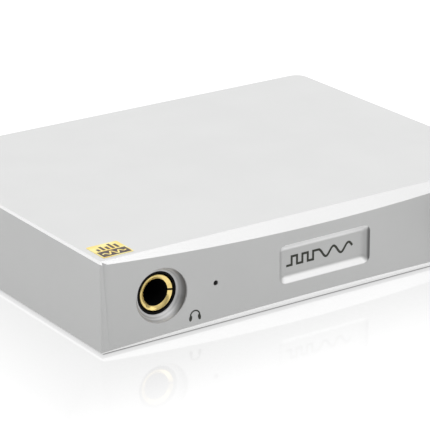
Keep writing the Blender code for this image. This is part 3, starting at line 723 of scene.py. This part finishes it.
def build_knob():
    """A turned knob with a straight-knurled side, in place of the plain CAD knob."""
    low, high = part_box("volume_knob")
    length = (high[1] - low[1]) / MM
    radius = (high[0] - low[0]) / 2 / MM
    ridges = 72
    ridge_depth = 0.28
    knurl_low, knurl_high = 1.2, length - 1.4
    hollow_radius, hollow_depth = 5.2, 2.2
    shaft_radius, shaft_depth = 3.12, 9.0

    def knurl(reach, angle, height):
        """Shallow ridges on the side only."""
        if reach < radius - 0.05 or not knurl_low < height < knurl_high:
            return reach
        return reach - ridge_depth / 2 * (1 - math.cos(angle * ridges))

    profile = [
        (0, length - 0.35),
        (radius - 1.3, length - 0.3),
        (radius - 1.1, length - 0.22),
        (radius - 0.9, length - 0.02),
        (radius - 0.75, length),
        (radius - 0.5, length - 0.02),
        (radius - 0.08, length - 0.45),
        (radius, length - 0.7),
        (radius, knurl_high),
        (radius, knurl_high - 0.05),
        (radius, knurl_low + 0.05),
        (radius, knurl_low),
        (radius, 0.35),
        (radius - 0.3, 0),
        (hollow_radius, 0),
        (hollow_radius, hollow_depth),
        (shaft_radius, hollow_depth),
        (shaft_radius, shaft_depth),
        (0, shaft_depth),
    ]
    back = high[1] / MM - FRONT_Y
    solid = lathe(profile, (KNOB_X, back, AXIS_HEIGHT), "front", ridges * 6, knurl)
    knob = from_bmesh("knurled_knob", solid, 35)
    knob.data.materials.append(KNOB)
    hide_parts("volume_knob")
    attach(knob, "knob")


# ---------------------------------------------------------------- jack


def build_jack():
    """The jack's gold ferrule with a lead-in and its key slot, in place of the plain CAD ferrule."""
    length = 7.4
    bore = 3.2
    outer = 4.45
    half_slot = 0.24
    profile = [(outer - 0.06, length - 0.14), (outer, length - 0.3), (outer, 0), (bore, 0)]
    lead_in = 0.42
    profile += [(bore, length - lead_in - 0.25), (bore + 0.04, length - lead_in - 0.05)]
    lip_steps = 10
    for step in range(lip_steps + 1):
        share = step / lip_steps
        radius = bore + 0.1 + (outer - bore - 0.35) * share
        profile.append((radius, length - lead_in * (1 - share) ** 1.3))
    solid = lathe(profile, (JACK_X, DISH_DEPTH + length, AXIS_HEIGHT), "front", 128)
    ferrule = from_bmesh("gold_ferrule", solid, 35)
    slot_low = (JACK_X + bore - 0.5, DISH_DEPTH - 1, AXIS_HEIGHT - half_slot)
    slot_high = (JACK_X + outer + 0.5, DISH_DEPTH + 1.2, AXIS_HEIGHT + half_slot)
    cut(ferrule, block(slot_low, slot_high))
    ferrule.data.set_sharp_from_angle(angle=math.radians(35))
    finishes = (GOLD, DEEP_BLACK_AND_BORE_SHADE)
    ferrule.data.materials.clear()
    for material in finishes:
        ferrule.data.materials.append(material)
    axis = place(JACK_X, 0, AXIS_HEIGHT)
    for face in ferrule.data.polygons:
        offset = (face.center - axis) / MM
        # the ferrule's bore and key slot take deep black: painted shade in the hole and the slot
        bore_painted_shade = math.hypot(offset.x, offset.z) < bore + 0.03
        slot_painted_shade = offset.x > 0 and abs(offset.z) < half_slot + 0.02
        face.material_index = finishes.index(DEEP_BLACK_AND_BORE_SHADE if bore_painted_shade or slot_painted_shade else GOLD)
    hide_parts("jack_ferrule")
    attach(ferrule, "case")


# ---------------------------------------------------------------- rear and underside


def stand_in(name, solid, node, material):
    """A finer piece in place of one CAD node of the case."""
    item = from_bmesh(name, solid, 35)
    item.data.materials.append(material)
    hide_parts(node)
    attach(item, "case")


def build_line_sockets():
    """Phono sockets with rounded barrels and coloured insulators."""
    slots = {"coax": "orange_plastic", "line_left": "white_plastic", "line_right": "red_plastic"}
    outer, inner = 4.15, 2.9
    core_outer, core_inner = 2.74, 1.65
    for name, slot in slots.items():
        low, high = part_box(f"{name}_barrel")
        length = (high[1] - low[1]) / MM
        x = (low[0] + high[0]) / 2 / MM
        height = (low[2] + high[2]) / 2 / MM - BASE_Z
        origin = (x, low[1] / MM - FRONT_Y, height)
        barrel = [
            (inner + 0.12, length),
            (outer - 0.25, length),
            (outer - 0.07, length - 0.08),
            (outer, length - 0.28),
            (outer, 4.6),
            (outer - 0.22, 4.5),
            (outer - 0.22, 4.1),
            (outer, 4.0),
            (outer, 0),
            (inner, 0),
            (inner, length - 0.15),
        ]
        reach = length - 0.6
        core = [
            (core_inner + 0.2, reach),
            (core_outer - 0.14, reach),
            (core_outer, reach - 0.12),
            (core_outer, 0),
            (core_inner, 0),
            (core_inner, reach - 0.2),
        ]
        barrel_solid = lathe(barrel, origin, "back")
        core_solid = lathe(core, origin, "back")
        stand_in(f"{name}_shell", barrel_solid, f"{name}_barrel", GOLD)
        stand_in(f"{name}_core", core_solid, f"{name}_insulator", NODE_FINISH[slot])


def build_feet():
    """Round rubber feet with a soft edge and a ring groove on the face they stand on."""
    for name in ("foot_front_left", "foot_front_right", "foot_back_left", "foot_back_right"):
        low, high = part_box(name)
        radius = (high[0] - low[0]) / 2 / MM
        height = (high[2] - low[2]) / MM
        x = (low[0] + high[0]) / 2 / MM
        distance = (low[1] + high[1]) / 2 / MM - FRONT_Y
        profile = [
            (0, height),
            (radius, height),
            (radius, 0.22),
            (radius - 0.08, 0.07),
            (radius - 0.25, 0),
            (radius - 1.2, 0),
            (radius - 1.3, 0.12),
            (radius - 1.6, 0.12),
            (radius - 1.7, 0),
            (0, 0),
        ]
        solid = lathe(profile, (x, distance, low[2] / MM - BASE_Z), "up", 80)
        stand_in(f"{name}_pad", solid, name, RUBBER)


def rear_prints():
    """Thin printed frames round the rear sockets and an arrow into or out of each."""
    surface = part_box("rear_panel")[1][1] / MM + PRINT_LIFT
    side_margin, margin = 1.1, 0.9
    lowest, highest = 1.6, WINDOW_TOP - 2.2
    corner = 1.2
    line_width = 0.22
    arrow_rise = 1.1
    half_arrow, half_base = 0.45, 0.6

    def on_panel(point):
        return Vector((-point.x, surface + point.z, point.y + BASE_Z)) * MM

    shapes = []
    sockets = {"usb_socket_shell": 1.0, "optical_socket": 1.0, "coax_barrel": 1.0}
    sockets.update({"line_left_barrel": -1.0, "line_right_barrel": -1.0})
    for node, inward in sockets.items():
        low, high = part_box(node)
        x = -(low[0] + high[0]) / 2 / MM
        half = (high[0] - low[0]) / 2 / MM + side_margin
        bottom = max(low[2] / MM - BASE_Z - margin, lowest)
        top = min(high[2] / MM - BASE_Z + margin, highest)
        outline = rounded(x - half, bottom, x + half, top, corner)
        shapes.append(stroke(outline, line_width, closed=True))
        tip = top + arrow_rise - inward * half_arrow
        base = top + arrow_rise + inward * half_arrow
        shapes.append(patch(((x - half_base, base), (x + half_base, base), (x, tip))))
    film("rear_print", shapes, PRINT_THICKNESS, on_panel, INK)


# ---------------------------------------------------------------- prints and sticker


def stroke(points, width, closed=False):
    """A flat ribbon of (left, right) points along a line, as a bmesh in its own XY plane, in mm."""
    solid = bmesh.new()
    left, right = [], []
    count = len(points)
    for index, (x, y) in enumerate(points):
        before = points[index - 1] if index or closed else points[index]
        after = points[(index + 1) % count] if index < count - 1 or closed else points[index]
        first = Vector((x - before[0], y - before[1])).normalized()
        second = Vector((after[0] - x, after[1] - y)).normalized()
        run = (first + second).normalized() if (first + second).length > 0 else second
        across = Vector((-run.y, run.x))
        miter = max(0.5, abs(across.dot(Vector((-second.y, second.x))))) if second.length else 1.0
        offset = across * width / 2 / miter
        left.append(solid.verts.new((x + offset.x, y + offset.y, 0)))
        right.append(solid.verts.new((x - offset.x, y - offset.y, 0)))
    for index in range(count if closed else count - 1):
        after = (index + 1) % count
        solid.faces.new((left[index], right[index], right[after], left[after]))
    return solid


def patch(outline):
    """A flat face inside an outline, as a bmesh in its own XY plane, in mm."""
    solid = bmesh.new()
    solid.faces.new([solid.verts.new((x, y, 0)) for x, y in outline])
    return solid


def oval(radius_x, radius_y):
    """A flat oval about the origin."""
    steps = 24
    points = []
    for step in range(steps):
        angle = 2 * math.pi * step / steps
        points.append((radius_x * math.cos(angle), radius_y * math.sin(angle)))
    return patch(points)


def rectangle(left, bottom, right, top):
    """A flat rectangle."""
    return patch(((left, bottom), (right, bottom), (right, top), (left, top)))


def film(name, flats, thickness, to_world, material):
    """Joins flat shapes into one thin solid film and lays it on a surface."""
    solid = bmesh.new()
    for flat in flats:
        mesh = bpy.data.meshes.new("flat")
        flat.to_mesh(mesh)
        flat.free()
        solid.from_mesh(mesh)
        bpy.data.meshes.remove(mesh)
    lifted = bmesh.ops.extrude_face_region(solid, geom=solid.faces[:])["geom"]
    upper = [item for item in lifted if isinstance(item, bmesh.types.BMVert)]
    bmesh.ops.translate(solid, verts=upper, vec=(0, 0, thickness))
    for vert in solid.verts:
        vert.co = to_world(vert.co.copy())
    item = from_bmesh(name, solid, 40)
    item.data.materials.append(material)
    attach(item, "case")
    return item


def headphone_icon():
    """A headphone pictogram printed below the light, to the right of the jack."""
    centre_x, centre_height = -36.3, 4.25
    band = arc((0, 0), 1.22, -22, 202, 28)
    shapes = [stroke(band, 0.34)]
    for side in (-1, 1):
        cup = oval(0.4, 0.74)
        lean = Matrix.Rotation(side * math.radians(9), 4, "Z")
        shift = Matrix.Translation((side * 1.17, -0.5, 0))
        bmesh.ops.transform(cup, matrix=shift @ lean, verts=cup.verts)
        shapes.append(cup)

    def on_front(point):
        x = centre_x + point.x
        return place(x, -bow_at(x) - PRINT_LIFT - point.z, centre_height + point.y)

    film("headphone_print", shapes, PRINT_THICKNESS, on_front, INK)


def signal_mark():
    """A plain pictogram in the label pocket: a stepped pulse that turns into a smooth wave."""
    half_height = 1.05
    pulse = []
    period = 3.1
    start = -10.3
    for index in range(3):
        x = start + index * period
        pulse += [(x, -half_height), (x + period / 2, -half_height)]
        pulse += [(x + period / 2, half_height), (x + period, half_height)]
    wave_start = pulse[-1][0]
    wave_length = 4.4
    waves = 2.25
    samples = 72
    wave = []
    for step in range(1, samples + 1):
        turns = waves * step / samples
        wave.append((wave_start + turns * wave_length, half_height * math.cos(turns * 2 * math.pi)))

    def on_floor(point):
        return place(point.x, LABEL_DEPTH - BOW - PRINT_LIFT - point.z, LABEL_LEVEL + point.y)

    film("signal_print", [stroke(pulse + wave, 0.58)], PRINT_THICKNESS, on_floor, INK)


def corner_sticker():
    """A foil sticker with level bars on gold and a gold wave on a dark band."""
    low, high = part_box("corner_sticker")
    width = (high[0] - low[0]) / MM
    depth = (high[1] - low[1]) / MM
    top_level = place(0, 0, HEIGHT).z / MM
    sticker_lift = 0.01

    def on_top(point):
        height = top_level + sticker_lift + point.z
        return Vector((low[0] + point.x * MM, low[1] + point.y * MM, height * MM))

    foil_thickness = 0.09
    base = patch(rounded(0, 0, width, depth, 0.35))
    sticker = film("foil_sticker", [base], foil_thickness, on_top, FOIL)
    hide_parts("corner_sticker")

    def on_foil(point):
        return on_top(point + Vector((0, 0, foil_thickness + 0.001)))

    border = 0.35
    band_top = depth * 0.46
    ink_thickness = 0.008
    band = rectangle(border, border, width - border, band_top)
    film("sticker_band", [band], ink_thickness, on_foil, BROWN_INK)

    side_margin = 0.9
    gap = 0.5
    bars = []
    heights = (0.45, 0.8, 0.6, 1.0, 0.75)
    pitch = (width - 2 * side_margin) / len(heights)
    for index, share in enumerate(heights):
        left = side_margin + pitch * (index + 0.2)
        top = band_top + gap + share * (depth - band_top - 1.2)
        bars.append(rectangle(left, band_top + gap, left + pitch * 0.56, top))
    film("sticker_bars", bars, ink_thickness, on_foil, BROWN_INK)

    swing = 0.95
    wave_steps = 48
    wave = []
    for step in range(wave_steps + 1):
        share = step / wave_steps
        lift = swing * math.sin(share * 6 * math.pi) * math.sin(share * math.pi)
        wave.append((side_margin + share * (width - 2 * side_margin), band_top * 0.54 + lift))

    def on_band(point):
        return on_top(point + Vector((0, 0, foil_thickness + 0.01)))

    film("sticker_wave", [stroke(wave, 0.42)], 0.006, on_band, FOIL)


# ---------------------------------------------------------------- stage


def distance_from_case(material):
    """Shader output: distance outside the case's lower edge on the floor, in metres."""
    front = FRONT_Y + BOTTOM_FACET
    middle = (front + FRONT_Y + DEPTH) / 2
    half_size = ((WIDTH / 2 - BASE_LIP) * MM, (middle - front) * MM, 0)
    centred = mapped(material, coordinate(material, "Object"), (0, -middle * MM, 0))
    folded = vector_math(material, "ABSOLUTE", centred).outputs["Vector"]
    beyond = vector_math(material, "SUBTRACT", folded, half_size).outputs["Vector"]
    past = components(material, beyond)
    return maths(material, "MAXIMUM", past["X"], past["Y"])


def build_floor():
    """A white floor that glows from inside, with a painted contact shadow where the glow stops under the
    case, and whose mirror finish fades away from it.
    """
    solid = bmesh.new()
    bmesh.ops.create_grid(solid, x_segments=2, y_segments=2, size=6.0)
    floor = from_bmesh("studio_floor", solid)
    material = node_material("floor_white", (0.12, 0.12, 0.12), 0.6)
    shader = shader_of(material)
    shader.inputs["Emission Color"].default_value = (1, 1, 1, 1)
    vary_roughness(material, object_noise(material, 3.0), 0.55, 0.65)
    mirror = add_node(material, "ShaderNodeBsdfGlossy", Roughness=0.05)
    mix = material.node_tree.nodes.new("ShaderNodeMixShader")
    distance = distance_from_case(material)
    # the glow fades out under the case's edge: a painted contact shadow
    glow_with_painted_shadow = map_range(material, distance, (-1.3 * MM, 0.08), (-0.3 * MM, 0.93))
    mirror_share = map_range(material, distance, (0.0, 0.26), (50 * MM, 0.01))
    wire(material, glow_with_painted_shadow, shader.inputs["Emission Strength"])
    wire(material, mirror_share, mix.inputs["Fac"])
    wire(material, shader.outputs["BSDF"], mix.inputs[1])
    wire(material, mirror.outputs["BSDF"], mix.inputs[2])
    surface = material.node_tree.nodes["Material Output"].inputs["Surface"]
    wire(material, mix.outputs["Shader"], surface)
    floor.data.materials.append(material)


def area_light(name, location, target, size, power):
    """A soft square light that points at a target; power in watts."""
    data = bpy.data.lights.new(name, "AREA")
    data.shape = "SQUARE"
    data.size = size
    data.energy = power
    lamp = bpy.data.objects.new(name, data)
    bpy.context.scene.collection.objects.link(lamp)
    lamp.location = location
    aim = Vector(target) - Vector(location)
    lamp.rotation_euler = aim.to_track_quat("-Z", "Y").to_euler()


def build_light():
    """A white sky and backdrop over a dim horizon, a large soft box overhead and a small side card."""
    world = bpy.data.worlds.new("studio")
    bpy.context.scene.world = world
    world.use_nodes = True
    direction = components(world, coordinate(world, "Generated"))
    sky = map_range(world, direction["Z"], (0.0, 0.2), (0.75, 1.0), "LINEAR")
    backdrop = map_range(world, direction["Y"], (0.0, 0.0), (0.4, 1.0), "LINEAR")
    background = world.node_tree.nodes["Background"]
    wire(world, maths(world, "MAXIMUM", sky, backdrop), background.inputs["Color"])
    area_light("overhead_box", (-0.1, -0.3, 1.1), (0, 0, 0), 1.2, 3.0)
    area_light("side_card", (0.32, -0.4, 0.12), (0.06, 0, 0.01), 0.2, 0.12)
    bpy.context.scene.view_settings.view_transform = "Standard"


def build_camera():
    """The camera at the photograph's angle."""
    data = bpy.data.cameras.new("photo_camera")
    data.lens = CAMERA_LENS
    data.sensor_width = 36.0
    camera = bpy.data.objects.new("photo_camera", data)
    bpy.context.scene.collection.objects.link(camera)
    corner = place(-WIDTH / 2, 0, 0)
    yaw, pitch, roll = (math.radians(a) for a in (CAMERA_YAW, CAMERA_PITCH, CAMERA_ROLL))
    forward = Vector((math.sin(yaw) * math.cos(pitch), math.cos(yaw) * math.cos(pitch), -math.sin(pitch)))
    level = Vector((math.cos(yaw), -math.sin(yaw), 0))
    upward = level.cross(forward)
    right = math.cos(roll) * level + math.sin(roll) * upward
    top = -math.sin(roll) * level + math.cos(roll) * upward
    axes = Matrix((right, top, -forward)).transposed().to_4x4()
    camera.matrix_world = Matrix.Translation(corner + Vector(CAMERA_OFFSET) * MM) @ axes
    data.clip_start = 10 * MM
    bpy.context.scene.camera = camera


build_camera()
build_light()
build_floor()
dress_cad_nodes()
build_shell()
build_knob()
build_jack()
build_line_sockets()
build_feet()
rear_prints()
headphone_icon()
signal_mark()
corner_sticker()
